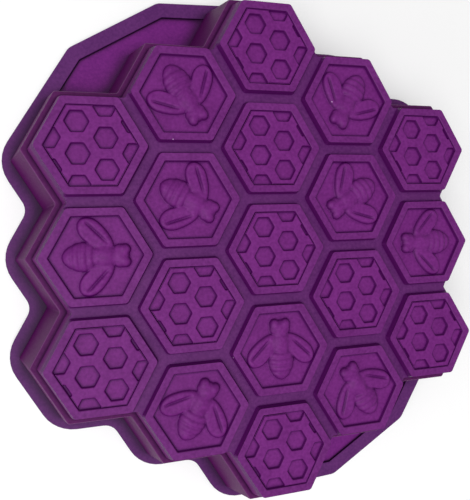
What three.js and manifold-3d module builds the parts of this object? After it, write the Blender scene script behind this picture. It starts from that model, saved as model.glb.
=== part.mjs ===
// Honeycomb silicone mould, lying on its rim with the underside of its cells up.
// One moulding, built region by region: rim, handles, two tiers of wall, channel web,
// nineteen hexagonal cells and the bee or comb relief on each. Millimetres, +Z up.
// Origin: middle of the rim's pouring-side face.
import * as THREE from 'three';
import { mergeVertices } from 'three/addons/utils/BufferGeometryUtils.js';
import Module from 'manifold-3d';

const wasm = await Module();
wasm.setup();

// ---- driving dimensions ------------------------------------------------------------------
// Cells stand in five columns. Each letter is one cell, from the top of its column down:
// B carries a bee, C carries a comb.
const columns = ['CBC', 'BBCB', 'CCCBC', 'BBCB', 'CBC'];
const cellPitch = 50;

const rimThickness = 3;
const rimWidth = 6.4;
const rimConvexRadius = 19;
const rimConcaveRadius = 8;

const skirtHeight = 32;
const skirtDraft = 11;
const ledgeWidth = 2.65;
const upperHeight = 9;
const upperDraft = 12;
const wallThickness = 2.2;
const plateThickness = 2;
const wallCornerRadius = 1.2;

const channelWidth = 4.6;
const cellHeight = 3;
const cellDraft = 15;
const cellCornerRadius = 1;
const borderWidth = 3.9;
const panelRecess = 1.5;
const pocketLip = 0.3;

const handleAxes = [120, 300];
const handleDepth = 26.5;
const handleEdge = 55;
const handleBand = 7.75;
const handleCornerRadius = 7.5;
const handlePanelThickness = 1.5;

const combPitch = 14.5;
const combHoleAcross = 10;
const combHeight = 1.3;
const reliefGap = 0.3;

// The comb's lattice starts this far from its cell's centre, in columns and in pitches.
const combStart = { columns: 0.5, pitches: 0.25 };

// Bee, head along +X: centre, half-length, half-width and height of each rounded lobe. The whole
// bee is then sized to reach the sides of its panel, less the gap above.
const beeAbdomen = { x: -6.6, y: 0, long: 8.1, wide: 6.5, high: 3.0, turn: 0 };
const beeThorax = { x: 3.2, y: 0, long: 6.0, wide: 5.1, high: 2.8, turn: 0 };
const beeHead = { x: 10.6, y: 0, long: 4.1, wide: 5.1, high: 2.4, turn: 0 };
const beeEye = { x: 12.5, y: 3.3, long: 2.8, wide: 2.6, high: 2.1, turn: 0 };
const beeWing = { x: -1.2, y: 10.0, long: 9.2, wide: 5.0, high: 1.5, turn: 133 };

// The most of a side that the rounding of one corner may take, how far cutting blocks reach past
// the faces that they cut, and how near two vertices lie that are one.
const cornerShare = 0.48;
const cutReach = 1;
const mergeTolerance = 1e-4;

// Straight pieces in each rounded corner, and round and up each lobe of the bee.
const wallCornerSteps = 2;
const rimCornerSteps = 6;
const cellCornerSteps = 1;
const bodySteps = { around: 16, up: 4 };
const headSteps = { around: 10, up: 3 };
const eyeSteps = { around: 8, up: 2 };
const wingSteps = { around: 14, up: 2 };

// ---- levels and outlines that follow from them ---------------------------------------------
const tan = (degrees) => Math.tan(THREE.MathUtils.degToRad(degrees));
const level = { rimTop: rimThickness };
level.ledgeTop = level.rimTop + skirtHeight;
level.ledgeUnder = level.ledgeTop - plateThickness;
level.channel = level.ledgeTop + upperHeight;
level.webUnder = level.channel - plateThickness;
level.face = level.channel + cellHeight;
level.panel = level.face - panelRecess;

// Offsets outward from the line where neighbouring cells meet, half a pitch from a cell's centre.
const offset = { channel: -channelWidth / 2 };
offset.face = offset.channel - cellHeight * tan(cellDraft);
offset.panel = offset.face - borderWidth;
offset.webUnder = offset.channel + plateThickness * tan(upperDraft);
offset.pocket = offset.webUnder - wallThickness - pocketLip;
offset.upperFoot = offset.channel + upperHeight * tan(upperDraft);
offset.skirtTop = offset.upperFoot + ledgeWidth;
offset.ledgeUnder = offset.skirtTop + plateThickness * tan(skirtDraft);
offset.skirtFoot = offset.skirtTop + skirtHeight * tan(skirtDraft);
offset.rim = offset.skirtFoot + rimWidth;

const halfPitch = cellPitch / 2;
const columnSpacing = cellPitch * Math.cos(Math.PI / 6);
const polar = (radius, degrees) => {
  const angle = THREE.MathUtils.degToRad(degrees);
  return new THREE.Vector2(radius * Math.cos(angle), radius * Math.sin(angle));
};

// Every cell: its motif, its centre, and the bearing of the mould's middle from it.
const cells = columns.flatMap((motifs, column) => [...motifs].map((motif, row) => {
  const x = (column - (columns.length - 1) / 2) * columnSpacing;
  const y = ((motifs.length - 1) / 2 - row) * cellPitch;
  return { motif, centre: new THREE.Vector2(x, y), bearing: Math.atan2(-y, -x) };
}));

// ---- outlines ------------------------------------------------------------------------------
// A hexagon with a corner at angle 0, given by the distance from its centre to a side.
function hexagon(apothem) {
  return [0, 60, 120, 180, 240, 300].map((degrees) => polar(apothem / Math.cos(Math.PI / 6), degrees));
}

// The stepped outline round all the cells: the hexagon sides that no two cells share, in order.
function cellOutline() {
  const near = (a, b) => a.distanceTo(b) < cellPitch / 100;
  const sides = cells.flatMap(({ centre }) => hexagon(halfPitch).map((corner, k, corners) => ({
    start: corner.clone().add(centre),
    end: corners[(k + 1) % corners.length].clone().add(centre),
  })));
  const shared = (side) => sides.some((other) => near(side.start, other.end) && near(side.end, other.start));
  const outer = sides.filter((side) => !shared(side));
  const outline = [outer[0].start];
  let side = outer[0];
  while (!near(side.end, outline[0])) {
    outline.push(side.end);
    side = outer.find((next) => near(next.start, side.end));
  }
  return outline;
}

// The centre of the cell that lies furthest out along a bearing.
function cellTowards(bearing) {
  const ahead = polar(1, bearing);
  const further = (far, centre) => (centre.dot(ahead) > far.dot(ahead) ? centre : far);
  return cells.map(({ centre }) => centre).reduce(further);
}

// Unit normal of the side from a to b, pointing out of a counter-clockwise outline.
function outward(a, b) {
  return new THREE.Vector2(b.y - a.y, a.x - b.x).normalize();
}

// Move every side of a closed outline outward by a distance, keeping its corners sharp.
function grow(outline, distance) {
  return outline.map((point, k) => {
    const before = outward(outline.at(k - 1), point);
    const after = outward(point, outline[(k + 1) % outline.length]);
    const mitre = before.clone().add(after).divideScalar(1 + before.dot(after));
    return point.clone().addScaledVector(mitre, distance);
  });
}

// Round the corners of a closed outline. radii(k, convex) gives each corner's radius, which is
// limited so that neighbouring arcs never meet.
function round(outline, radii, steps) {
  return outline.flatMap((point, k) => {
    const last = outline.at(k - 1);
    const next = outline[(k + 1) % outline.length];
    const before = outward(last, point);
    const after = outward(point, next);
    const turn = Math.atan2(before.cross(after), before.dot(after));
    const side = Math.sign(turn);
    const room = cornerShare * Math.min(last.distanceTo(point), next.distanceTo(point));
    const radius = Math.min(radii(k, side > 0), room / Math.tan(Math.abs(turn) / 2));
    const mitre = before.clone().add(after).divideScalar(1 + before.dot(after));
    const centre = point.clone().addScaledVector(mitre, -side * radius);
    return Array.from({ length: steps + 1 }, (_, step) => {
      const normal = before.clone().rotateAround(new THREE.Vector2(), turn * step / steps);
      return centre.clone().addScaledVector(normal, side * radius);
    });
  });
}

const lattice = cellOutline();
const wallLoop = (distance) => round(grow(lattice, distance), () => wallCornerRadius, wallCornerSteps);
const cellLoop = (distance) => round(hexagon(halfPitch + distance), () => cellCornerRadius, cellCornerSteps);

// ---- solids --------------------------------------------------------------------------------
// Join loops of equal length, each { points, z }, by bands of triangles.
function bands(loops, closed) {
  const count = loops[0].points.length;
  const vertices = loops.flatMap(({ points, z }) => points.flatMap(({ x, y }) => [x, y, z]));
  const triangles = [];
  const pairs = closed ? loops.length : loops.length - 1;
  for (let loop = 0; loop < pairs; loop++) {
    const lower = loop * count;
    const upper = ((loop + 1) % loops.length) * count;
    for (let k = 0; k < count; k++) {
      const next = (k + 1) % count;
      triangles.push(lower + k, lower + next, upper + next, lower + k, upper + next, upper + k);
    }
  }
  return { vertices, triangles, count };
}

function toGeometry(vertices, triangles) {
  const geometry = new THREE.BufferGeometry();
  geometry.setAttribute('position', new THREE.Float32BufferAttribute(vertices, 3));
  geometry.setIndex(triangles);
  return geometry;
}

// A closed ring: its loops run up the outer face, over the top and down the inner face.
function ring(loops) {
  const { vertices, triangles } = bands(loops, true);
  return toGeometry(vertices, triangles);
}

// A closed block: its loops run from the underside up, and its first and last are filled in.
function block(loops) {
  const { vertices, triangles, count } = bands(loops, false);
  const fill = (index, flip) => {
    const faces = THREE.ShapeUtils.triangulateShape(loops[index].points, []);
    for (const [a, b, c] of faces) {
      const base = index * count;
      triangles.push(base + a, base + (flip ? c : b), base + (flip ? b : c));
    }
  };
  fill(0, true);
  fill(loops.length - 1, false);
  return toGeometry(vertices, triangles);
}

// An upright prism between two levels.
const prism = (points, bottom, top) => block([{ points, z: bottom }, { points, z: top }]);

function toManifold(geometry) {
  const plain = geometry.clone();
  plain.deleteAttribute('normal');
  plain.deleteAttribute('uv');
  const merged = mergeVertices(plain, mergeTolerance);
  return new wasm.Manifold(new wasm.Mesh({
    numProp: 3,
    vertProperties: new Float32Array(merged.getAttribute('position').array),
    triVerts: new Uint32Array(merged.getIndex().array),
  }));
}

// A prism that cuts right through whatever lies between two levels.
const cutter = (points, bottom, top) => toManifold(prism(points, bottom - cutReach, top + cutReach));

function fromManifold(solid) {
  const mesh = solid.getMesh();
  return toGeometry(Array.from(mesh.vertProperties), Array.from(mesh.triVerts));
}

// ---- rim and handles -----------------------------------------------------------------------
// A handle lies between two corner cells, each this far in bearing from the handle's axis.
const cornerCellBearing = 30;
const latticeReach = Math.max(...lattice.map((point) => point.dot(polar(1, handleAxes[0]))));

// The two ends of a handle's outer edge, which lies square to its axis.
function handleCorners(axis) {
  const middle = polar(latticeReach + handleDepth, axis);
  return [-1, 1].map((side) => middle.clone().add(polar(side * handleEdge / 2, axis + 90)));
}

function isBeside(axis, point) {
  const bearing = THREE.MathUtils.radToDeg(point.angle()) - axis;
  return Math.abs(THREE.MathUtils.euclideanModulo(bearing + 180, 360) - 180) < cornerCellBearing;
}

// The rim follows the cells, except that its corners beside a handle's axis give way to the
// handle's own two, so that the handle's sides run on to the outermost corner of the rim.
const handlePoints = handleAxes.flatMap(handleCorners);
const rimPolygon = grow(lattice, offset.rim)
  .filter((point) => !handleAxes.some((axis) => isBeside(axis, point)))
  .concat(handlePoints)
  .sort((a, b) => a.angle() - b.angle());

function rimRadius(k, convex) {
  if (handlePoints.includes(rimPolygon[k])) return handleCornerRadius;
  return convex ? rimConvexRadius : rimConcaveRadius;
}

// The thin panel inside a handle's raised band, up to the foot of the skirt wall.
function handlePanel(axis, bottom, top) {
  const band = grow(rimPolygon, -handleBand);
  const first = rimPolygon.indexOf(handlePoints[2 * handleAxes.indexOf(axis)]);
  const corner = (step) => band.at((first + step) % band.length);
  const beside = (centre, from, to) => {
    const side = to.clone().sub(from).normalize();
    return from.clone().addScaledVector(side, centre.clone().sub(from).dot(side));
  };
  const before = cellTowards(axis - cornerCellBearing);
  const after = cellTowards(axis + cornerCellBearing);
  const outline = [
    before,
    beside(before, corner(0), corner(-1)),
    corner(0),
    corner(1),
    beside(after, corner(1), corner(2)),
    after,
    new THREE.Vector2(),
  ];
  const skirt = cutter(wallLoop(offset.skirtFoot), bottom, top);
  return toManifold(prism(outline, bottom, top)).subtract(skirt);
}

function rimFlange() {
  const outline = round(rimPolygon, rimRadius, rimCornerSteps);
  const mouth = cutter(wallLoop(offset.skirtFoot - wallThickness), 0, rimThickness);
  const solid = toManifold(prism(outline, 0, rimThickness)).subtract(mouth);
  const cut = (flange, axis) => flange.subtract(handlePanel(axis, -cutReach, rimThickness + cutReach));
  return fromManifold(handleAxes.reduce(cut, solid));
}

// ---- walls, ledge and web ------------------------------------------------------------------
function wallRing(foot, head) {
  return ring([
    { points: wallLoop(foot.offset), z: foot.z },
    { points: wallLoop(head.offset), z: head.z },
    { points: wallLoop(head.offset - wallThickness), z: head.z },
    { points: wallLoop(foot.offset - wallThickness), z: foot.z },
  ]);
}

function skirtWall() {
  const foot = { offset: offset.skirtFoot, z: level.rimTop };
  const head = { offset: offset.ledgeUnder, z: level.ledgeUnder };
  return wallRing(foot, head);
}

function upperWall() {
  const foot = { offset: offset.upperFoot, z: level.ledgeTop };
  const head = { offset: offset.webUnder, z: level.webUnder };
  return wallRing(foot, head);
}

function ledgeRing() {
  const inner = wallLoop(offset.upperFoot - wallThickness);
  return ring([
    { points: wallLoop(offset.ledgeUnder), z: level.ledgeUnder },
    { points: wallLoop(offset.skirtTop), z: level.ledgeTop },
    { points: inner, z: level.ledgeTop },
    { points: inner, z: level.ledgeUnder },
  ]);
}

// The plate that carries the cells, with a pocket through it under each one.
function channelWeb() {
  let web = toManifold(block([
    { points: wallLoop(offset.webUnder), z: level.webUnder },
    { points: wallLoop(offset.channel), z: level.channel },
  ]));
  const pocket = cutter(hexagon(halfPitch + offset.pocket), level.webUnder, level.channel);
  for (const { centre } of cells) {
    web = web.subtract(pocket.translate([centre.x, centre.y, 0]));
  }
  return fromManifold(web);
}

// ---- cells and their reliefs -----------------------------------------------------------------
// A raised hexagon with drafted sides and a border round a sunken panel.
function cellCap() {
  return block([
    { points: cellLoop(offset.channel), z: level.channel },
    { points: cellLoop(offset.face), z: level.face },
    { points: cellLoop(offset.panel), z: level.face },
    { points: cellLoop(offset.panel), z: level.panel },
  ]);
}

// A comb: a plate inside the border, pierced by small hexagons, some of them cut by its edge.
function combRelief() {
  const top = level.panel + combHeight;
  const edge = halfPitch + offset.panel - reliefGap;
  const holeApothem = combHoleAcross / 2;
  let comb = toManifold(prism(hexagon(edge), level.panel, top));
  const hole = cutter(hexagon(holeApothem), level.panel, top);
  const sides = [30, 90, 150, 210, 270, 330].map((degrees) => polar(1, degrees));
  const stepX = combPitch * Math.cos(Math.PI / 6);
  const spread = Math.ceil(2 * edge / combPitch);
  for (let column = -spread; column <= spread; column++) {
    for (let row = -spread; row <= spread; row++) {
      const x = (column + combStart.columns) * stepX;
      const y = (row + column / 2 + combStart.pitches) * combPitch;
      const reach = Math.max(...sides.map((side) => side.x * x + side.y * y));
      if (reach - holeApothem < edge) comb = comb.subtract(hole.translate([x, y, 0]));
    }
  }
  return fromManifold(comb);
}

// How far a lobe reaches from the bee's middle along a bearing.
function lobeReach({ x, y, long, wide, turn }, bearing) {
  const ahead = polar(1, bearing);
  const along = polar(1, bearing - turn);
  return x * ahead.x + y * ahead.y + Math.hypot(long * along.x, wide * along.y);
}

// One rounded lobe of the bee, carried a little below the panel so that it can be cut flush.
function lobe({ x, y, long, wide, high, turn }, { around, up }) {
  const profile = [new THREE.Vector2(0, -cutReach), new THREE.Vector2(1, -cutReach)];
  for (let step = 0; step < up; step++) {
    const angle = (Math.PI / 2) * (step / up);
    profile.push(new THREE.Vector2(Math.cos(angle), high * Math.sin(angle)));
  }
  profile.push(new THREE.Vector2(0, high));
  const shape = new THREE.LatheGeometry(profile, around);
  shape.rotateX(Math.PI / 2);
  shape.scale(long, wide, 1);
  shape.rotateZ(THREE.MathUtils.degToRad(turn));
  shape.translate(x, y, 0);
  return toManifold(shape);
}

function beeRelief() {
  const mirrored = (part) => ({ ...part, y: -part.y, turn: -part.turn });
  const lobes = [
    lobe(beeAbdomen, bodySteps),
    lobe(beeThorax, bodySteps),
    lobe(beeHead, headSteps),
    lobe(beeEye, eyeSteps),
    lobe(mirrored(beeEye), eyeSteps),
    lobe(beeWing, wingSteps),
    lobe(mirrored(beeWing), wingSteps),
  ];
  const slab = toManifold(new THREE.BoxGeometry(cellPitch, cellPitch, cellPitch).translate(0, 0, halfPitch));
  const bee = lobes.reduce((whole, part) => whole.add(part)).intersect(slab);

  // Bees head for a corner or for a side of their cell, so every twelfth of a turn may meet a side.
  const bearings = [0, 30, 60, 90, 120, 150, 180];
  const parts = [beeAbdomen, beeThorax, beeHead, beeEye, beeWing];
  const reach = Math.max(...parts.flatMap((part) => bearings.map((bearing) => lobeReach(part, bearing))));
  const size = (halfPitch + offset.panel - reliefGap) / reach;
  return fromManifold(bee).scale(size, size, 1).translate(0, 0, level.panel);
}

// ---- the assembly ----------------------------------------------------------------------------
const finish = (color, roughness) => new THREE.MeshStandardMaterial({ color, roughness, metalness: 0 });
const siliconeFace = finish(0x713179, 0.5);
const siliconePanel = finish(0x65266c, 0.55);
const siliconeChannel = finish(0x5a2f68, 0.6);
const siliconeWall = finish(0x553057, 0.6);
const siliconeRim = finish(0x542d61, 0.55);
const siliconeHandle = finish(0x581e5e, 0.55);

const group = new THREE.Group();
function place(name, geometry, material, x = 0, y = 0, turn = 0) {
  const mesh = new THREE.Mesh(geometry, material);
  mesh.name = name;
  mesh.position.set(x, y, 0);
  mesh.rotation.z = turn;
  group.add(mesh);
}

place('rim_flange', rimFlange(), siliconeRim);
const handleNames = ['handle_panel_upper_left', 'handle_panel_lower_right'];
handleAxes.forEach((axis, k) => {
  place(handleNames[k], fromManifold(handlePanel(axis, 0, handlePanelThickness)), siliconeHandle);
});
place('skirt_wall', skirtWall(), siliconeWall);
place('ledge_ring', ledgeRing(), siliconeWall);
place('upper_wall', upperWall(), siliconeWall);
place('channel_web', channelWeb(), siliconeChannel);

// Every comb lies the same way round, and every bee heads for the middle of the mould.
const motifs = {
  C: { name: 'comb', relief: combRelief(), turn: () => 0, count: 0 },
  B: { name: 'bee', relief: beeRelief(), turn: (bearing) => bearing, count: 0 },
};
for (const { motif, centre, bearing } of cells) {
  const kind = motifs[motif];
  const { x, y } = centre;
  kind.count += 1;
  place(`${kind.name}_cell_${kind.count}`, cellCap(), siliconeFace, x, y);
  place(`${kind.name}_relief_${kind.count}`, kind.relief, siliconePanel, x, y, kind.turn(bearing));
}

export default group;
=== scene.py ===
"""A one-piece silicone honeycomb mould, lying on its rim with its nineteen cells up.

Every region of the moulding is its own piece: the rim and its two pull handles, the skirt wall,
the ledge, the upper wall, the channel web, and a border and a relief for each cell. Metres, +Z up.
"""
import logging
import math
from dataclasses import dataclass, replace
from enum import Enum
from typing import Iterable, Sequence

import bmesh
import bpy
from bmesh.types import BMEdge, BMesh, BMFace, BMVert
from mathutils import Matrix, Vector
from mathutils.bvhtree import BVHTree


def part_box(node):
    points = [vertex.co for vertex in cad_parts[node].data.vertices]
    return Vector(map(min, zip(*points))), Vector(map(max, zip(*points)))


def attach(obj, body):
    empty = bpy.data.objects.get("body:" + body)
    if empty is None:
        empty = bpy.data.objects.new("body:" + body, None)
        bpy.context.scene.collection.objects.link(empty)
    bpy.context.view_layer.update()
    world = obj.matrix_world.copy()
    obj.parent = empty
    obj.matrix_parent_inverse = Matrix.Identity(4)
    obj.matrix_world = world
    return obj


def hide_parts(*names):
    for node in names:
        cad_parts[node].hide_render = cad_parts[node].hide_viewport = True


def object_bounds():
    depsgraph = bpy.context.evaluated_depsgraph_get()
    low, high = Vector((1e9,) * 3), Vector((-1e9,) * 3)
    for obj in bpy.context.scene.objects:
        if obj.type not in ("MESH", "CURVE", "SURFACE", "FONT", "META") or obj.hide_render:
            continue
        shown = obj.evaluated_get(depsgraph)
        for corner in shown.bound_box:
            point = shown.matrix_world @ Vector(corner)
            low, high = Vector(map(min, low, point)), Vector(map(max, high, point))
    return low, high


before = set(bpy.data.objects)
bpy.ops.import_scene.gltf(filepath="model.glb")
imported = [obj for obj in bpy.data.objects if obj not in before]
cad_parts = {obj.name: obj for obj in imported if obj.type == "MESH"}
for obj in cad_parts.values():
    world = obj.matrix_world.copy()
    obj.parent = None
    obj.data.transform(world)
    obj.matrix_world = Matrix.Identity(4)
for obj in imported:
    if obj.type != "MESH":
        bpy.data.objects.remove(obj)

LOG = logging.getLogger("honeycomb_mould")
CAD_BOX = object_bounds()
BODY = "root"
MM = 0.001
HEX_SIDES = 6
HALF_SIDE_ANGLE = math.pi / HEX_SIDES
MERGE_DISTANCE = 0.002 * MM
STACK_STEP = 20 * MM
SMOOTH_ANGLE = math.radians(38)
FLAT_ANGLE = math.radians(0.5)
SIXTH_TURN = 60
PIECE_PREFIX = "moulded_"

# Facets in a rounding.
SMALL_ROUNDING = 2
ROUNDING = 3
LARGE_ROUNDING = 4

# Faces are told apart by the upward part of their normal.
LEVEL_FACE = 0.9
STEEP_FACE = 0.5
SLOPING_FACE = 0.1
UPRIGHT_FACE = 0.05

# Sizes in the frame that its boxes don't give by themselves.
CELL_DRAFT = math.radians(15)
COMB_GAP = 0.3 * MM
POCKET_INSET = 2.1 * MM

# A Mix node's colour sockets have no names of their own, so they go by number.
MIX_SHARE, MIX_FIRST, MIX_SECOND, MIX_RESULT = 0, 6, 7, 2
FLOAT_SOCKET = "NodeSocketFloat"

# The product of a share and its rest, times this, is 1 at a half.
HALFWAY_GAIN = 4.0

Colour = tuple[float, float, float]
Place = tuple[float, float, float]


class Motif(Enum):
    """What a cell carries on its sunken panel."""

    BEE = "bee"
    COMB = "comb"


class Region(Enum):
    """The regions of the moulding, by the record's material slot."""

    FACE = "silicone_face"
    RELIEF = "silicone_relief"
    CHANNEL = "silicone_channel"
    WALL = "silicone_wall"
    RIM = "silicone_rim"
    HANDLE = "silicone_handle"


# ---- finishes ------------------------------------------------------------------------------


class NodeSheet:
    """A node tree being wired, with one short call for each node that the finishes use."""

    def __init__(self, tree: bpy.types.NodeTree) -> None:
        """Start an empty sheet on a tree."""
        self.tree = tree
        self.tree.nodes.clear()

    def add(self, kind: str, sockets: dict | None = None, **settings: object) -> bpy.types.Node:
        """Place a node and fill its inputs.

        Args:
            kind: the node's type name.
            sockets: input name or number, and a value or an output socket to link to it.
            settings: properties of the node itself.

        Returns:
            The new node.
        """
        node = self.tree.nodes.new(kind)
        for name, value in settings.items():
            setattr(node, name, value)
        for name, value in (sockets or {}).items():
            if isinstance(value, bpy.types.NodeSocket):
                self.tree.links.new(value, node.inputs[name])
            else:
                node.inputs[name].default_value = value
        return node

    def math(self, operation: str, *values: object) -> bpy.types.NodeSocket:
        """A Math node's result for the given values or sockets."""
        return self.add("ShaderNodeMath", dict(enumerate(values)), operation=operation).outputs[0]

    def noise(
        self, place: object, scale: float, detail: float, roughness: float = 0.5,
    ) -> bpy.types.NodeSocket:
        """Noise over a place, as a value round a half."""
        sockets = {"Vector": place, "Scale": scale, "Detail": detail, "Roughness": roughness}
        return self.add("ShaderNodeTexNoise", sockets).outputs[0]

    def spread(
        self, value: object, low: float, high: float, start: float, end: float,
    ) -> bpy.types.NodeSocket:
        """Map a value from low..high to start..end, held at its ends."""
        ends = {"From Min": low, "From Max": high, "To Min": start, "To Max": end}
        return self.add("ShaderNodeMapRange", {"Value": value, **ends}).outputs[0]

    def tint(self, share: object, first: object, second: object) -> bpy.types.NodeSocket:
        """Blend two colours by a share."""
        sockets = {MIX_SHARE: share, MIX_FIRST: first, MIX_SECOND: second}
        return self.add("ShaderNodeMix", sockets, data_type="RGBA").outputs[MIX_RESULT]


def new_group(
    name: str, inputs: dict[str, float], outputs: Iterable[str],
) -> bpy.types.NodeTree:
    """Make an empty shader node group whose sockets are all plain values.

    Args:
        name: the group's name.
        inputs: the name and starting value of each input.
        outputs: the name of each output.

    Returns:
        The group's node tree.
    """
    group = bpy.data.node_groups.new(name, "ShaderNodeTree")
    for socket, value in inputs.items():
        made = group.interface.new_socket(socket, in_out="INPUT", socket_type=FLOAT_SOCKET)
        made.default_value = value
    for socket in outputs:
        group.interface.new_socket(socket, in_out="OUTPUT", socket_type=FLOAT_SOCKET)
    return group


@dataclass(frozen=True)
class SiliconeSkin:
    """The cast silicone's own surface, shared by every region: mottled tone, grain and dust."""

    cloud_scale: float = 70.0
    cloud_detail: float = 6.0
    cloud_roughness: float = 0.78
    mottle_scale: float = 660.0
    mottle_detail: float = 2.0
    tone_range: tuple[float, float] = (0.74, 1.26)
    grain_scale: float = 1500.0
    grain_detail: float = 3.0
    dust_scale: float = 120.0
    dust_size: float = 0.036
    dust_share: float = 0.10

    def group(self) -> bpy.types.NodeTree:
        """Build the shared group: tone, grain height and dust specks over object coordinates.

        Returns:
            The node group, with outputs Tone, Grain and Dust.
        """
        group = new_group("silicone_skin", {}, ("Tone", "Grain", "Dust"))
        sheet = NodeSheet(group)
        place = sheet.add("ShaderNodeTexCoord").outputs["Object"]
        cloud = sheet.noise(place, self.cloud_scale, self.cloud_detail, self.cloud_roughness)
        mottle = sheet.noise(place, self.mottle_scale, self.mottle_detail)
        tone = sheet.math("ADD", cloud, mottle)
        cells = sheet.add("ShaderNodeTexVoronoi", {"Vector": place, "Scale": self.dust_scale})
        draw = sheet.add("ShaderNodeSeparateColor", {"Color": cells.outputs["Color"]}).outputs[0]
        speck = sheet.math("LESS_THAN", cells.outputs["Distance"], self.dust_size)
        kept = sheet.math("LESS_THAN", draw, self.dust_share)
        results = {
            "Tone": sheet.spread(tone, *self.tone_range, 0.0, 1.0),
            "Grain": sheet.noise(place, self.grain_scale, self.grain_detail),
            "Dust": sheet.math("MULTIPLY", speck, kept),
        }
        sheet.add("NodeGroupOutput", results)
        return group


@dataclass(frozen=True)
class CreaseShade:
    """Painted shade where two surfaces of the moulding meet at a step, darker the more shut in a
    point is.
    """

    reach: float = 1.2 * MM
    open_share: float = 0.93
    shut_share: float = 0.60
    samples: int = 8

    def group(self) -> bpy.types.NodeTree:
        """Build the shared group, which puts out how much painted shade a point takes in creases,
        from ambient occlusion.

        Returns:
            The node group, with inputs Reach and Shut, and output Depth.
        """
        inputs = {"Reach": self.reach, "Shut": self.shut_share}
        group = new_group("crease_depth", inputs, ("Depth",))
        sheet = NodeSheet(group)
        given = sheet.add("NodeGroupInput").outputs
        sockets = {"Distance": given["Reach"]}
        # Ambient occlusion sets where the painted shade in creases falls.
        shade = sheet.add("ShaderNodeAmbientOcclusion", sockets, samples=self.samples)
        depth = sheet.spread(shade.outputs["AO"], self.open_share, given["Shut"], 0.0, 1.0)
        sheet.add("NodeGroupOutput", {"Depth": depth})
        return group


@dataclass(frozen=True)
class Finish:
    """One region's silicone: its tones, from open to creases, with painted shade in creases and on
    steep faces and a painted highlight along rounded edges, and its satin.

    The two tilts are the heights of the normal at which a surface is upright and level. The part
    is added to the material's name where two finishes share a region.
    """

    region: Region
    deep: Colour
    bloom: Colour
    # Colour of the painted shade in creases and at contact.
    crease_shade: Colour
    # Colour of the painted shade on steep and upright faces.
    steep: Colour
    # Colour and share of the painted highlight along rounded edges.
    edge: Colour = (0.170, 0.045, 0.190)
    edge_highlight_share: float = 0.0
    dust: Colour = (0.42, 0.24, 0.45)
    # How far the painted shade in creases reaches, and how shut a point is where that shade is
    # full.
    reach: float = CreaseShade.reach
    shut: float = CreaseShade.shut_share
    tilt: tuple[float, float] = (0.35, 0.85)
    roughness: float = 0.5
    satin: float = 0.05
    specular: float = 0.13
    grain_range: tuple[float, float] = (0.3, 0.7)
    grain_height: float = 0.02 * MM
    part: str = ""

    @property
    def name(self) -> str:
        """The name of the finish's material."""
        return f"cast_{self.region.value}{self.part}"

    def material(self, skin: bpy.types.NodeTree, crease_shade: bpy.types.NodeTree) -> bpy.types.Material:
        """Wire the region's material from the shared groups.

        Args:
            skin: the silicone_skin group.
            crease_shade: the crease_depth group.

        Returns:
            The finished material.
        """
        material = bpy.data.materials.new(self.name)
        material.use_nodes = True
        sheet = NodeSheet(material.node_tree)
        surface = sheet.add("ShaderNodeGroup", node_tree=skin).outputs
        limits = {"Reach": self.reach, "Shut": self.shut}
        depth = sheet.add("ShaderNodeGroup", limits, node_tree=crease_shade).outputs["Depth"]
        lean = self.lean(sheet)
        # Painted highlight: rounded edges lighten towards the edge colour.
        edge = sheet.math("MULTIPLY", self.edge_highlight_band(sheet, lean), self.edge_highlight_share)
        colour = sheet.tint(surface["Tone"], (*self.deep, 1), (*self.bloom, 1))
        # Painted shade: steep faces darken towards the steep colour, as walls do when lit from
        # above.
        colour = sheet.tint(lean, colour, (*self.steep, 1))
        colour = sheet.tint(edge, colour, (*self.edge, 1))
        # Painted shade: creases and contact zones darken towards their shade colour.
        colour = sheet.tint(depth, colour, (*self.crease_shade, 1))
        colour = sheet.tint(surface["Dust"], colour, (*self.dust, 1))
        ends = (self.roughness - self.satin, self.roughness + self.satin)
        satin = sheet.spread(surface["Grain"], *self.grain_range, *ends)
        relief = {"Height": surface["Grain"], "Distance": self.grain_height}
        sockets = {
            "Base Color": colour,
            "Roughness": satin,
            "Normal": sheet.add("ShaderNodeBump", relief).outputs[0],
            "Specular IOR Level": self.specular,
        }
        shader = sheet.add("ShaderNodeBsdfPrincipled", sockets)
        sheet.add("ShaderNodeOutputMaterial", {"Surface": shader.outputs[0]})
        return material

    def lean(self, sheet: NodeSheet) -> bpy.types.NodeSocket:
        """How steep the surface is, from 0 where it is level to 1 where it is upright.

        Args:
            sheet: the material's node sheet.

        Returns:
            The share, over the finish's range of tilt.
        """
        normal = sheet.add("ShaderNodeNewGeometry").outputs["Normal"]
        upright = sheet.add("ShaderNodeSeparateXYZ", {"Vector": normal}).outputs["Z"]
        return sheet.spread(sheet.math("ABSOLUTE", upright), *self.tilt, 1.0, 0.0)

    def edge_highlight_band(self, sheet: NodeSheet, lean: bpy.types.NodeSocket) -> bpy.types.NodeSocket:
        """The painted highlight's band along rounded edges: 1 where the surface is half steep, 0 at
        both ends.

        Args:
            sheet: the material's node sheet.
            lean: how steep the surface is.

        Returns:
            The share.
        """
        level = sheet.math("SUBTRACT", 1.0, lean)
        return sheet.math("MULTIPLY", sheet.math("MULTIPLY", lean, level), HALFWAY_GAIN)


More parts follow.
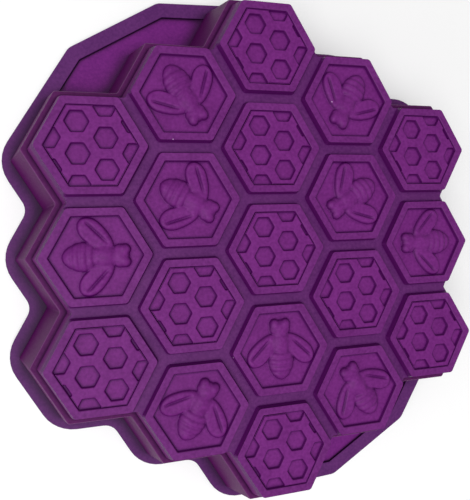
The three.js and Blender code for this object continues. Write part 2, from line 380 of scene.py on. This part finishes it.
# All finishes are the one silicone. Their tones differ as painted light and shade: the channel,
# walls and rim are painted darker, as in shade, and the handle panels lighter, as where light
# falls.
FACE = Finish(
    Region.FACE, deep=(0.100, 0.0082, 0.115), bloom=(0.148, 0.0188, 0.169),
    crease_shade=(0.072, 0.0015, 0.092), steep=(0.068, 0.003, 0.084), edge_highlight_share=0.55, reach=1.6 * MM,
)
RELIEF = Finish(
    Region.RELIEF, deep=(0.111, 0.0080, 0.127), bloom=(0.159, 0.0165, 0.179),
    crease_shade=(0.062, 0.0012, 0.080), steep=(0.062, 0.002, 0.076), reach=1.5 * MM, shut=0.74,
    tilt=(0.45, 0.97),
)
CHANNEL = Finish(
    Region.CHANNEL, deep=(0.081, 0.0092, 0.103), bloom=(0.123, 0.0208, 0.145),
    crease_shade=(0.070, 0.004, 0.092), steep=(0.070, 0.005, 0.084),
)
WALL = Finish(
    Region.WALL, deep=(0.070, 0.0085, 0.072), bloom=(0.094, 0.0145, 0.092),
    crease_shade=(0.030, 0.002, 0.034), steep=(0.068, 0.0030, 0.067), edge=(0.200, 0.085, 0.200),
    edge_highlight_share=0.5, reach=2.2 * MM, shut=0.68, specular=0.05,
)
# The upper wall: a lighter copy of the wall's silicone, painted light.
UPPER_WALL = replace(
    WALL, part="_upper", deep=(0.086, 0.0110, 0.090), bloom=(0.112, 0.0180, 0.114),
    steep=(0.100, 0.012, 0.104),
)
# The rim and handles spread their painted shade 9 mm from the skirt's foot, a painted contact
# shadow; the rim's dark steep tone paints shade on its rounded outer edge.
RIM = Finish(
    Region.RIM, deep=(0.079, 0.0125, 0.107), bloom=(0.117, 0.0225, 0.145),
    crease_shade=(0.022, 0.002, 0.030), steep=(0.026, 0.002, 0.036), reach=9 * MM,
)
HANDLE = Finish(
    Region.HANDLE, deep=(0.130, 0.0085, 0.158), bloom=(0.180, 0.0155, 0.206),
    crease_shade=(0.034, 0.002, 0.042), steep=(0.060, 0.004, 0.070), reach=9 * MM,
)
FINISHES = (FACE, RELIEF, CHANNEL, WALL, UPPER_WALL, RIM, HANDLE)


# ---- shared mesh work ----------------------------------------------------------------------


def faces_added(mesh: BMesh, before: set[BMFace]) -> list[BMFace]:
    """The faces that a mesh has gained since a set of its faces was taken."""
    return [face for face in mesh.faces if face not in before]


def bevel_edges(
    mesh: BMesh, edges: Iterable[BMEdge], radius: float, segments: int = ROUNDING,
) -> None:
    """Round edges of a mesh.

    Args:
        mesh: the mesh to change.
        edges: the edges to round.
        radius: how far the rounding reaches over each side.
        segments: the facets in each rounding.
    """
    bmesh.ops.bevel(
        mesh, geom=list(edges), affect="EDGES", offset=radius, offset_type="OFFSET",
        segments=segments, profile=0.5, clamp_overlap=True, material=-1,
    )


def rounded_hexagon(mesh: BMesh, apothem: float, level: float, corner: float) -> list[BMEdge]:
    """Add a hexagonal loop of edges with rounded corners, one corner on +X.

    Args:
        mesh: the mesh that gets the loop.
        apothem: distance from the middle to a side.
        level: height of the loop.
        corner: radius of its corners.

    Returns:
        The loop's edges.
    """
    before = set(mesh.faces)
    place = Matrix.Translation((0, 0, level)) @ Matrix.Rotation(HALF_SIDE_ANGLE, 4, "Z")
    radius = apothem / math.cos(HALF_SIDE_ANGLE)
    made = bmesh.ops.create_circle(
        mesh, cap_ends=True, segments=HEX_SIDES, radius=radius, matrix=place,
    )
    bmesh.ops.bevel(
        mesh, geom=made["verts"], affect="VERTICES", offset=corner * math.tan(HALF_SIDE_ANGLE),
        offset_type="OFFSET", segments=LARGE_ROUNDING, profile=0.5, material=-1,
    )
    disc = faces_added(mesh, before)
    edges = list(disc[0].edges)
    bmesh.ops.delete(mesh, geom=disc, context="FACES_ONLY")
    return edges


def stacked_ring(mesh: BMesh, profile: Sequence[tuple[float, float, float]]) -> list[list[BMEdge]]:
    """Add a closed hexagonal ring. Its loops are bridged as a tall stack, then set to their levels.

    Args:
        mesh: the mesh that gets the ring.
        profile: apothem, level and corner radius of each loop round the ring's section.

    Returns:
        The edges of each loop.
    """
    loops = []
    for index, (apothem, _, corner) in enumerate(profile):
        loops.append(rounded_hexagon(mesh, apothem, index * STACK_STEP, corner))
    for first, second in zip(loops, loops[1:] + loops[:1]):
        bmesh.ops.bridge_loops(mesh, edges=first + second)
    for loop, (_, level, _) in zip(loops, profile):
        for vert in {vert for edge in loop for vert in edge.verts}:
            vert.co.z = level
    return loops


def merged_copy(node: str) -> BMesh:
    """Copy a CAD node's mesh, with its doubles merged and its flat faces made whole.

    Args:
        node: the CAD node.

    Returns:
        The copy.
    """
    mesh = bmesh.new()
    mesh.from_mesh(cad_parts[node].data)
    bmesh.ops.remove_doubles(mesh, verts=mesh.verts, dist=MERGE_DISTANCE)
    bmesh.ops.dissolve_limit(
        mesh, angle_limit=FLAT_ANGLE, verts=mesh.verts, edges=mesh.edges,
    )
    mesh.normal_update()
    return mesh


def finish_piece(mesh: BMesh, node: str, finish: Finish) -> bpy.types.Object:
    """Turn a mesh into a finished piece that stands for a CAD node.

    Args:
        mesh: the piece's mesh, which is freed.
        node: the CAD node that it stands for.
        finish: the finish that it takes.

    Returns:
        The piece, riding on the mould's one body.
    """
    bmesh.ops.recalc_face_normals(mesh, faces=mesh.faces)
    if mesh.calc_volume(signed=True) < 0:
        bmesh.ops.reverse_faces(mesh, faces=mesh.faces)
    data = bpy.data.meshes.new(PIECE_PREFIX + node)
    mesh.to_mesh(data)
    mesh.free()
    data.polygons.foreach_set("use_smooth", [True] * len(data.polygons))
    data.set_sharp_from_angle(angle=SMOOTH_ANGLE)
    data.materials.append(bpy.data.materials[finish.name])
    piece = bpy.data.objects.new(PIECE_PREFIX + node, data)
    bpy.context.scene.collection.objects.link(piece)
    even = piece.modifiers.new("even_shading", "WEIGHTED_NORMAL")
    even.keep_sharp = True
    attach(piece, BODY)
    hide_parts(node)
    LOG.info("%s: %d faces, finish %s", piece.name, len(data.polygons), finish.name)
    return piece


# ---- rim, handles, walls and web -----------------------------------------------------------


@dataclass
class RimAndHandles:
    """The wavy rim with its two pull handles, and the thin panel sunk into each handle."""

    edge_radius: float = 1.1 * MM
    lip_radius: float = 0.5 * MM
    recess_radius: float = 0.55 * MM
    clear_of_skirt: float = 2.0 * MM

    def build(self) -> None:
        """Build and dress the rim and both handle panels."""
        finish_piece(self.flange(), "rim_flange", RIM)
        for node in ("handle_panel_upper_left", "handle_panel_lower_right"):
            finish_piece(merged_copy(node), node, HANDLE)

    def flange(self) -> BMesh:
        """The rim with its outer edge, its mouth and the handles' recesses softened.

        Returns:
            The rim's mesh.
        """
        mesh = merged_copy("rim_flange")
        skirt = merged_copy("skirt_wall")
        near_skirt = BVHTree.FromBMesh(skirt)
        skirt.free()
        middle = sum(vert.co.z for vert in mesh.verts) / len(mesh.verts)
        outer, recess, lip = [], [], []
        for edge in mesh.edges:
            sides = [face for face in edge.link_faces if abs(face.normal.z) < STEEP_FACE]
            if len(sides) != 1:
                continue
            point = (edge.verts[0].co + edge.verts[1].co) / 2
            faces_out = sides[0].normal.dot(point) > 0
            clear = near_skirt.find_nearest(point)[3] > self.clear_of_skirt
            if faces_out and clear:
                outer.append(edge)
            elif point.z > middle and clear:
                recess.append(edge)
            elif point.z < middle and not faces_out and not clear:
                lip.append(edge)
        bevel_edges(mesh, outer, self.edge_radius, LARGE_ROUNDING)
        bevel_edges(mesh, recess, self.recess_radius)
        bevel_edges(mesh, lip, self.lip_radius)
        return mesh


@dataclass
class Walls:
    """The two tiers of wall and the ledge between them."""

    ledge_radius: float = 0.8 * MM

    def build(self) -> None:
        """Build and dress the skirt wall, the ledge and the upper wall."""
        finish_piece(merged_copy("skirt_wall"), "skirt_wall", WALL)
        finish_piece(self.ledge(), "ledge_ring", WALL)
        finish_piece(merged_copy("upper_wall"), "upper_wall", UPPER_WALL)

    def ledge(self) -> BMesh:
        """The ledge with its outer top edge rounded.

        Returns:
            The ledge's mesh.
        """
        mesh = merged_copy("ledge_ring")
        shoulder = []
        for edge in mesh.edges:
            rises = [face.normal.z for face in edge.link_faces]
            slopes = any(SLOPING_FACE < rise < LEVEL_FACE for rise in rises)
            if slopes and max(rises) > LEVEL_FACE:
                shoulder.append(edge)
        bevel_edges(mesh, shoulder, self.ledge_radius, LARGE_ROUNDING)
        return mesh


@dataclass
class ChannelWeb:
    """The plate between the cells, with a pocket through it under each one."""

    pocket_radius: float = 0.6 * MM

    def build(self) -> None:
        """Build and dress the web, with the mouths of its pockets rounded."""
        mesh = merged_copy("channel_web")
        under = min(vert.co.z for vert in mesh.verts)
        mouths = []
        for edge in mesh.edges:
            upright = [face for face in edge.link_faces if abs(face.normal.z) < UPRIGHT_FACE]
            low = all(abs(vert.co.z - under) < MERGE_DISTANCE for vert in edge.verts)
            if len(upright) == 1 and low:
                mouths.append(edge)
        bevel_edges(mesh, mouths, self.pocket_radius)
        finish_piece(mesh, "channel_web", CHANNEL)


# ---- cells -----------------------------------------------------------------------------------


@dataclass(frozen=True)
class CellSizes:
    """Sizes that all cells share: three levels, and four distances from a cell's middle."""

    channel: float
    face: float
    panel: float
    foot: float
    top: float
    step: float
    pocket: float

    @classmethod
    def from_frame(cls) -> "CellSizes":
        """Read the shared sizes from one cell and its comb.

        Returns:
            The sizes.
        """
        low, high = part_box("comb_cell_1")
        comb_low, comb_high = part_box("comb_relief_1")
        foot = (high.y - low.y) / 2
        top = foot - (high.z - low.z) * math.tan(CELL_DRAFT)
        step = (comb_high.y - comb_low.y) / 2 + COMB_GAP
        return cls(
            channel=low.z, face=high.z, panel=comb_low.z,
            foot=foot, top=top, step=step, pocket=foot - POCKET_INSET,
        )


@dataclass
class CellBorder:
    """A cell's raised border: drafted sides, a flat top and a step down to the panel."""

    sizes: CellSizes
    skin: float = 1.3 * MM
    foot_corner: float = 1.9 * MM
    step_corner: float = 0.5 * MM
    edge_radius: float = 0.85 * MM
    step_radius: float = 0.3 * MM
    step_draft: float = 0.55 * MM
    pocket_draft: float = 0.25 * MM
    rib: float = 1.0 * MM

    def template(self) -> BMesh:
        """Build the border round the origin, as a closed hexagonal ring.

        Returns:
            The ring's mesh.
        """
        sizes = self.sizes
        under_panel = sizes.panel - self.skin
        under_face = sizes.face - self.skin
        profile = (
            (sizes.foot, sizes.channel, self.foot_corner),
            (sizes.top, sizes.face, self.foot_corner),
            (sizes.step + self.step_draft, sizes.face, self.step_corner),
            (sizes.step, sizes.panel, self.step_corner),
            (sizes.step, under_panel, self.step_corner),
            (sizes.step + self.rib, under_panel, self.step_corner),
            (sizes.step + self.rib + self.pocket_draft, under_face, self.step_corner),
            (sizes.pocket - self.pocket_draft, under_face, self.step_corner),
            (sizes.pocket, sizes.channel, self.step_corner),
        )
        mesh = bmesh.new()
        loops = stacked_ring(mesh, profile)
        bevel_edges(mesh, loops[1], self.edge_radius, LARGE_ROUNDING)
        bevel_edges(mesh, loops[2] + loops[5], self.step_radius)
        return mesh


@dataclass(frozen=True)
class Dome:
    """A rounded lobe of the bee, with its long axis along the body."""

    x: float
    y: float
    long: float
    wide: float
    high: float
    taper: float = 0.0

    def height(self, x: float, y: float) -> float:
        """Height of the dome over a point of the panel.

        Args:
            x: place along the bee.
            y: place across the bee.

        Returns:
            The height, negative outside the dome's foot.
        """
        along = (x - self.x) / self.long
        wide = self.wide * (1 + self.taper * along)
        reach = along ** 2 + ((y - self.y) / wide) ** 2
        return self.high * (math.sqrt(1 - reach) if reach < 1 else -min(reach - 1, 1))


@dataclass(frozen=True)
class Wing:
    """A swept-back leaf with a raised leading rim and a groove inside it."""

    x: float = -1.9 * MM
    y: float = 11.4 * MM
    turn: float = math.radians(134)
    long: float = 7.3 * MM
    root: float = 13.0 * MM
    wide: float = 5.2 * MM
    high: float = 1.75 * MM
    groove_place: float = 0.22
    groove_width: float = 0.14
    groove_depth: float = 0.95 * MM
    groove_reach: float = 0.72
    groove_fade: int = 4
    hollow: float = 0.35 * MM
    hollow_place: float = -0.25
    hollow_width: float = 0.6
    fullness: int = 3

    def height(self, x: float, y: float) -> float:
        """Height of the wing over a point, for the wing on the bee's left.

        Args:
            x: place along the bee.
            y: place across the bee.

        Returns:
            The height, negative outside the wing's foot.
        """
        away_x, away_y = x - self.x, y - self.y
        along = away_x * math.cos(self.turn) + away_y * math.sin(self.turn)
        along /= self.long if along > 0 else self.root
        across = (away_x * math.sin(self.turn) - away_y * math.cos(self.turn)) / self.wide
        reach = along ** 2 + across ** 2
        if reach >= 1:
            return -self.high * min(reach - 1, 1)
        ends = max(0.0, 1 - (along / self.groove_reach) ** self.groove_fade)
        groove = math.exp(-(((across - self.groove_place) / self.groove_width) ** 2)) * ends
        hollow = max(0.0, 1 - ((across - self.hollow_place) / self.hollow_width) ** 2) * ends
        leaf = self.high * (1 - reach ** self.fullness) ** 0.5
        return leaf - self.groove_depth * groove - self.hollow * hollow


def soft_max(first: float, second: float, blend: float) -> float:
    """The higher of two heights, with their meeting filled by a soft fillet."""
    gap = max(blend - abs(first - second), 0.0) / blend
    return max(first, second) + gap * gap * blend / 4


@dataclass
class BeeRelief:
    """The sunken panel of a bee cell with its bee, as one soft sheet."""

    sizes: CellSizes
    skin: float = 1.3 * MM
    cuts: int = 65
    overlap: float = 0.02 * MM
    abdomen: Dome = Dome(-6.7 * MM, 0, 8.4 * MM, 6.7 * MM, 3.0 * MM, 0.16)
    thorax: Dome = Dome(3.4 * MM, 0, 5.9 * MM, 5.0 * MM, 2.85 * MM)
    head: Dome = Dome(10.3 * MM, 0, 4.3 * MM, 5.4 * MM, 2.5 * MM)
    eye: Dome = Dome(12.5 * MM, 2.85 * MM, 2.8 * MM, 2.6 * MM, 2.4 * MM)
    wing: Wing = Wing()
    stripes: tuple[float, ...] = (-11.2 * MM, -7.9 * MM, -4.5 * MM, -1.3 * MM)
    stripe_width: float = 0.85 * MM
    stripe_depth: float = 0.42 * MM
    stripe_bow: float = 14.0
    waist_blend: float = 1.8 * MM
    eye_blend: float = 1.3 * MM
    neck_blend: float = 1.4 * MM
    wing_blend: float = 0.8 * MM
    foot_blend: float = 0.25 * MM
    smoothing: float = 0.4

    def height(self, x: float, y: float) -> float:
        """Height of the bee above its panel.

        Args:
            x: place along the bee, towards its head.
            y: place across it.

        Returns:
            The height, zero on the plain panel.
        """
        y = abs(y)
        belly = self.abdomen.height(x, y)
        for stripe in self.stripes:
            away = (x - stripe - self.stripe_bow * y * y) / self.stripe_width
            belly -= self.stripe_depth * math.exp(-away * away)
        body = soft_max(belly, self.thorax.height(x, y), self.waist_blend)
        face = soft_max(self.head.height(x, y), self.eye.height(x, y), self.eye_blend)
        body = soft_max(body, face, self.neck_blend)
        whole = soft_max(body, self.wing.height(x, y), self.wing_blend)
        return soft_max(whole, 0.0, self.foot_blend)

    def template(self, turn: float) -> BMesh:
        """Build the panel round the origin with its bee turned by an angle.

        Args:
            turn: the bee's bearing within its hexagon.

        Returns:
            The closed panel's mesh.
        """
        mesh = bmesh.new()
        radius = (self.sizes.step + self.overlap) / math.cos(HALF_SIDE_ANGLE)
        spin = Matrix.Rotation(HALF_SIDE_ANGLE, 4, "Z")
        bmesh.ops.create_circle(
            mesh, cap_ends=True, cap_tris=True, segments=HEX_SIDES, radius=radius,
            matrix=Matrix.Translation((0, 0, self.sizes.panel)) @ spin,
        )
        bmesh.ops.subdivide_edges(mesh, edges=mesh.edges, cuts=self.cuts, use_grid_fill=True)
        for vert in mesh.verts:
            x = vert.co.x * math.cos(turn) + vert.co.y * math.sin(turn)
            y = vert.co.y * math.cos(turn) - vert.co.x * math.sin(turn)
            vert.co.z += self.height(x, y)
        inner = [vert for vert in mesh.verts if not vert.is_boundary]
        bmesh.ops.smooth_vert(mesh, verts=inner, factor=self.smoothing, use_axis_z=True)
        made = bmesh.ops.extrude_face_region(mesh, geom=list(mesh.faces), use_keep_orig=True)
        below = [item for item in made["geom"] if isinstance(item, BMVert)]
        bmesh.ops.translate(mesh, verts=below, vec=(0, 0, -self.skin))
        return mesh


@dataclass
class CombRelief:
    """The sunken panel of a comb cell under a web of small hexagonal holes."""

    sizes: CellSizes
    pitch: float = 14.5 * MM
    spread: int = 3
    first_column: float = 0.5
    first_row: float = 0.25
    hole: float = 5.0 * MM
    skin: float = 1.3 * MM
    wall_draft: float = 0.50 * MM
    groove: float = 0.45 * MM
    groove_depth: float = 0.28 * MM
    corner_radius: float = 0.8 * MM
    edge_radius: float = 0.36 * MM
    overlap: float = 0.02 * MM

    def template(self) -> BMesh:
        """Build the comb round the origin, as a closed sheet of even thickness.

        Returns:
            The comb's mesh.
        """
        mesh = bmesh.new()
        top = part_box("comb_relief_1")[1].z
        deep = top - self.sizes.panel
        span = range(-self.spread, self.spread + 1)
        spin = Matrix.Rotation(HALF_SIDE_ANGLE, 4, "Z")
        radius = self.pitch / 2 / math.cos(HALF_SIDE_ANGLE)
        for column in span:
            for row in span:
                x = (column + self.first_column) * self.pitch * math.cos(HALF_SIDE_ANGLE)
                y = (row + column / 2 + self.first_row) * self.pitch
                bmesh.ops.create_circle(
                    mesh, cap_ends=True, segments=HEX_SIDES, radius=radius,
                    matrix=Matrix.Translation((x, y, top)) @ spin,
                )
        bmesh.ops.remove_doubles(mesh, verts=mesh.verts, dist=MERGE_DISTANCE)
        holes = list(mesh.faces)
        web = self.pitch / 2 - self.hole
        bmesh.ops.inset_individual(mesh, faces=holes, thickness=web, use_even_offset=True)
        bmesh.ops.inset_individual(
            mesh, faces=holes, thickness=self.wall_draft, depth=-deep, use_even_offset=True,
        )
        corners = []
        for edge in mesh.edges:
            first, second = edge.verts
            if abs(first.co.z - second.co.z) > deep / 2:
                corners.append(edge)
        reach = self.corner_radius * math.tan(HALF_SIDE_ANGLE)
        bevel_edges(mesh, corners, reach, SMALL_ROUNDING)
        mesh.normal_update()
        mouths = []
        for edge in mesh.edges:
            at_top = all(top - vert.co.z < MERGE_DISTANCE for vert in edge.verts)
            if at_top and any(abs(face.normal.z) < LEVEL_FACE for face in edge.link_faces):
                mouths.append(edge)
        bevel_edges(mesh, mouths, self.edge_radius, SMALL_ROUNDING)
        self.trim(mesh)
        self.edge_groove(mesh)
        bmesh.ops.recalc_face_normals(mesh, faces=mesh.faces)
        if sum(face.normal.z * face.calc_area() for face in mesh.faces) < 0:
            bmesh.ops.reverse_faces(mesh, faces=mesh.faces)
        bmesh.ops.solidify(mesh, geom=list(mesh.faces), thickness=self.skin)
        return mesh

    def trim(self, mesh: BMesh) -> None:
        """Cut the comb to its hexagonal panel, less the groove round it.

        Args:
            mesh: the comb's mesh, still without thickness.
        """
        reach = self.sizes.step + self.overlap - self.groove
        for side in range(HEX_SIDES):
            angle = HALF_SIDE_ANGLE * (2 * side + 1)
            normal = Vector((math.cos(angle), math.sin(angle), 0))
            everything = list(mesh.verts) + list(mesh.edges) + list(mesh.faces)
            bmesh.ops.bisect_plane(
                mesh, geom=everything, dist=MERGE_DISTANCE, plane_co=normal * reach,
                plane_no=normal, clear_outer=True,
            )

    def edge_groove(self, mesh: BMesh) -> None:
        """Drop the comb's outer edge a little, and run its foot out into the border.

        Args:
            mesh: the trimmed comb's mesh, still without thickness.
        """
        floor = max(vert.co.z for vert in mesh.verts) - self.groove_depth
        rim = [edge for edge in mesh.edges if edge.is_boundary]
        drop = bmesh.ops.extrude_edge_only(mesh, edges=rim)["geom"]
        for item in drop:
            if isinstance(item, BMVert):
                item.co.z = min(item.co.z, floor)
        rim = [item for item in drop if isinstance(item, BMEdge)]
        out = bmesh.ops.extrude_edge_only(mesh, edges=rim)["geom"]
        reach = self.sizes.step + self.overlap
        wider = reach / (reach - self.groove)
        verts = [item for item in out if isinstance(item, BMVert)]
        bmesh.ops.scale(mesh, verts=verts, vec=(wider, wider, 1))
        bmesh.ops.remove_doubles(mesh, verts=mesh.verts, dist=MERGE_DISTANCE)


@dataclass
class Honeycomb:
    """All nineteen cells: a border and a relief on each.

    A bee looks towards the mould's middle. The bee turns are the bearings within a sixth of a
    turn that one is made for, and a copy is turned by whole sixths, so that it fits its hexagon.
    """

    sizes: CellSizes
    bee_turns: tuple[int, ...] = (0, 30)

    def build(self) -> None:
        """Build each kind of cell once, and place a copy of it at every cell of that kind."""
        border = self.keep(CellBorder(self.sizes).template())
        comb = self.keep(CombRelief(self.sizes).template())
        bee = BeeRelief(self.sizes)
        bees = {turn: self.keep(bee.template(math.radians(turn))) for turn in self.bee_turns}
        for motif in Motif:
            nodes = [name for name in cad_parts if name.startswith(f"{motif.value}_cell_")]
            for node in sorted(nodes, key=lambda name: int(name.rsplit("_", 1)[1])):
                low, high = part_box(node)
                centre = Vector(((low.x + high.x) / 2, (low.y + high.y) / 2, 0))
                self.place(border, centre, 0, node, FACE)
                relief = node.replace("cell", "relief")
                if motif is Motif.COMB:
                    self.place(comb, centre, 0, relief, RELIEF)
                    continue
                bearing = round(math.degrees(math.atan2(-centre.y, -centre.x)))
                tilt = bearing % SIXTH_TURN
                self.place(bees[tilt], centre, bearing - tilt, relief, RELIEF)

    def keep(self, mesh: BMesh) -> bpy.types.Mesh:
        """Store a template so that copies can be made from it.

        Args:
            mesh: the template's mesh, which is freed.

        Returns:
            The stored mesh.
        """
        data = bpy.data.meshes.new("template")
        mesh.to_mesh(data)
        mesh.free()
        return data

    def place(
        self, template: bpy.types.Mesh, centre: Vector, turn: float, node: str, finish: Finish,
    ) -> None:
        """Copy a template to a cell.

        Args:
            template: the mesh to copy.
            centre: the cell's middle.
            turn: degrees that the copy is turned by.
            node: the CAD node that the copy stands for.
            finish: the finish that it takes.
        """
        mesh = bmesh.new()
        mesh.from_mesh(template)
        spot = Matrix.Translation(centre) @ Matrix.Rotation(math.radians(turn), 4, "Z")
        bmesh.ops.transform(mesh, matrix=spot, verts=mesh.verts)
        finish_piece(mesh, node, finish)


# ---- studio ----------------------------------------------------------------------------------


@dataclass(frozen=True)
class Softbox:
    """A square soft light aimed at the mould."""

    name: str
    place: Place
    side: float
    power: float

    def build(self) -> None:
        """Add the light and turn it to the middle of the mould."""
        data = bpy.data.lights.new(self.name, "AREA")
        data.size = self.side
        data.energy = self.power
        light = bpy.data.objects.new(self.name, data)
        light.location = self.place
        light.rotation_euler = (-Vector(self.place)).to_track_quat("-Z", "Y").to_euler()
        bpy.context.scene.collection.objects.link(light)


@dataclass
class Studio:
    """A plain pale floor, soft light and the camera."""

    floor_side: float = 6.0
    floor_drop: float = 0.1 * MM
    floor_colour: Colour = (0.93, 0.93, 0.93)
    floor_roughness: float = 0.9
    camera_place: Place = (-0.0963, 0.0018, 0.2962)
    camera_turn: Place = (0.378, -16.641, -2.528)
    lens: float = 38.726
    sensor: float = 36.0
    nearest: float = 0.01
    sky: float = 0.55
    softboxes: tuple[Softbox, ...] = (
        Softbox("key", (-0.35, -0.20, 1.05), 0.9, 9.0),
        Softbox("side", (-0.75, -0.50, 0.30), 0.45, 1.8),
    )

    def build(self) -> None:
        """Add the floor, the lights, the sky and the camera."""
        self.floor()
        self.world()
        for softbox in self.softboxes:
            softbox.build()
        self.camera()
        bpy.context.scene.view_settings.view_transform = "Standard"

    def floor(self) -> None:
        """A wide pale sheet just under the rim."""
        mesh = bmesh.new()
        place = Matrix.Translation((0, 0, CAD_BOX[0][2] - self.floor_drop))
        bmesh.ops.create_grid(
            mesh, x_segments=1, y_segments=1, size=self.floor_side / 2, matrix=place,
        )
        data = bpy.data.meshes.new("floor")
        mesh.to_mesh(data)
        mesh.free()
        material = bpy.data.materials.new("pale_floor")
        material.use_nodes = True
        shader = material.node_tree.nodes["Principled BSDF"]
        shader.inputs["Base Color"].default_value = (*self.floor_colour, 1)
        shader.inputs["Roughness"].default_value = self.floor_roughness
        shader.inputs["Specular IOR Level"].default_value = 0.0
        data.materials.append(material)
        floor = bpy.data.objects.new("floor", data)
        bpy.context.scene.collection.objects.link(floor)

    def world(self) -> None:
        """An even, pale sky."""
        world = bpy.data.worlds.new("sky")
        world.use_nodes = True
        background = world.node_tree.nodes["Background"]
        background.inputs["Color"].default_value = (1, 1, 1, 1)
        background.inputs["Strength"].default_value = self.sky
        bpy.context.scene.world = world

    def camera(self) -> None:
        """The camera, above the mould's left side and tilted towards its middle."""
        data = bpy.data.cameras.new("camera")
        data.lens = self.lens
        data.sensor_width = self.sensor
        data.clip_start = self.nearest
        camera = bpy.data.objects.new("camera", data)
        camera.location = self.camera_place
        camera.rotation_euler = [math.radians(angle) for angle in self.camera_turn]
        bpy.context.scene.collection.objects.link(camera)
        bpy.context.scene.camera = camera


def main() -> None:
    """Build the finishes, the studio, and then the mould region by region."""
    logging.basicConfig(level=logging.INFO, format="%(name)s: %(message)s")
    skin, crease_shade = SiliconeSkin().group(), CreaseShade().group()
    for finish in FINISHES:
        finish.material(skin, crease_shade)
    Studio().build()
    RimAndHandles().build()
    Walls().build()
    ChannelWeb().build()
    Honeycomb(CellSizes.from_frame()).build()


if __name__ == "__main__":
    main()
